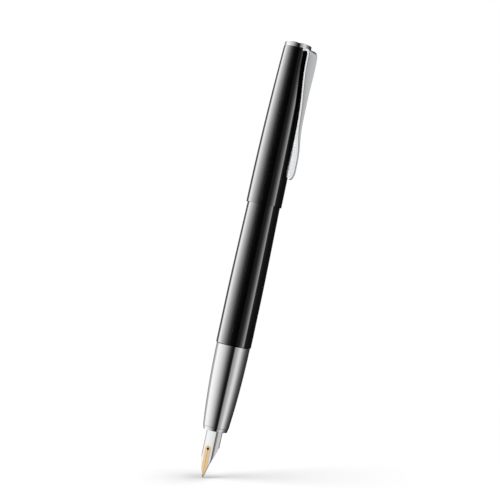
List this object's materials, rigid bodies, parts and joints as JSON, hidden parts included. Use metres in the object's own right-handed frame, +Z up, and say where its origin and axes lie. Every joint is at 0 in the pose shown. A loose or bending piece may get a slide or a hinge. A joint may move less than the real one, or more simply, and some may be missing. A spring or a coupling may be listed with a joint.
{
  "type": "fountain pen",
  "caption": "Fountain pen standing on its nib, cap posted on the barrel's rear, with a sprung clip and a screw-piston ink converter inside.",
  "frame": {"origin": "the point on the pen's axis that is level with the writing tip, which itself sits 1.4 mm in front of the axis", "axes": "+Z up the pen's axis from the nib to the cap's crown, -Y the side that the nib's face looks to, the clip 84 degrees round from the nib's face towards +X"},
  "size_m": [0.0165, 0.0128, 0.1582],
  "materials": {
    "black_lacquer": "deep gloss black lacquer on brass",
    "polished_chrome": "mirror-polished chrome plate",
    "clip_steel": "solid steel, machined and satin polished",
    "turned_steel": "turned steel",
    "black_plastic": "moulded black plastic",
    "brass": "turned brass",
    "palladium_plate": "polished palladium plate with fine polishing lines",
    "nib_metal": "rhodium-plated gold with a bare gold tip and strip",
    "tipping_alloy": "ground and polished hard alloy",
    "feed_ebonite": "machined hard rubber, satin black",
    "clear_plastic": "clear moulded plastic",
    "knob_plastic": "black plastic, fluted",
    "spindle_plastic": "pale moulded plastic",
    "seal_rubber": "black rubber"
  },
  "bodies": {
    "grip": {"grip_sleeve": "palladium_plate", "grip_front_ring": "palladium_plate", "grip_core": "black_plastic", "nib": "nib_metal", "nib_tip": "tipping_alloy", "feed": "feed_ebonite", "ink_pipe": "black_plastic", "converter_mouth": "black_plastic", "converter_tube": "clear_plastic", "converter_guide": "black_plastic", "converter_band": "polished_chrome"},
    "barrel": {"barrel_tube": "black_lacquer", "barrel_thread_insert": "brass", "barrel_end_plug": "black_lacquer"},
    "cap": {"cap_tube": "black_lacquer", "cap_liner": "black_plastic", "cap_crown": "polished_chrome", "crown_screw": "turned_steel", "clip_ring": "clip_steel"},
    "clip_blade": {"clip": "clip_steel"},
    "knob": {"converter_knob": "knob_plastic"},
    "piston": {"converter_spindle": "spindle_plastic", "converter_piston": "spindle_plastic", "piston_seals": "seal_rubber"}
  },
  "joints": [
    {"name": "barrel_off", "type": "slide", "parent": "grip", "child": "barrel", "axis": [0, 0, 1], "range_m": [0, 0.08]},
    {"name": "cap_off", "type": "slide", "parent": "barrel", "child": "cap", "axis": [0, 0, 1], "range_m": [0, 0.032]},
    {"name": "clip_flex", "type": "hinge", "parent": "cap", "child": "clip_blade", "pos_m": [0.00507, -0.00053, 0.15555], "axis": [-0.1045, -0.9945, 0], "range_deg": [0, 4], "stiffness_Nm_per_rad": 8},
    {"name": "knob_turn", "type": "hinge", "parent": "grip", "child": "knob", "pos_m": [0, 0, 0.1], "axis": [0, 0, 1], "range_deg": [0, 2520]},
    {"name": "piston_travel", "type": "slide", "parent": "grip", "child": "piston", "axis": [0, 0, 1], "range_m": [0, 0.022]}
  ],
  "couplings": [
    {"joint": "knob_turn", "follows": "piston_travel", "rad_per_m": 2000}
  ]
}
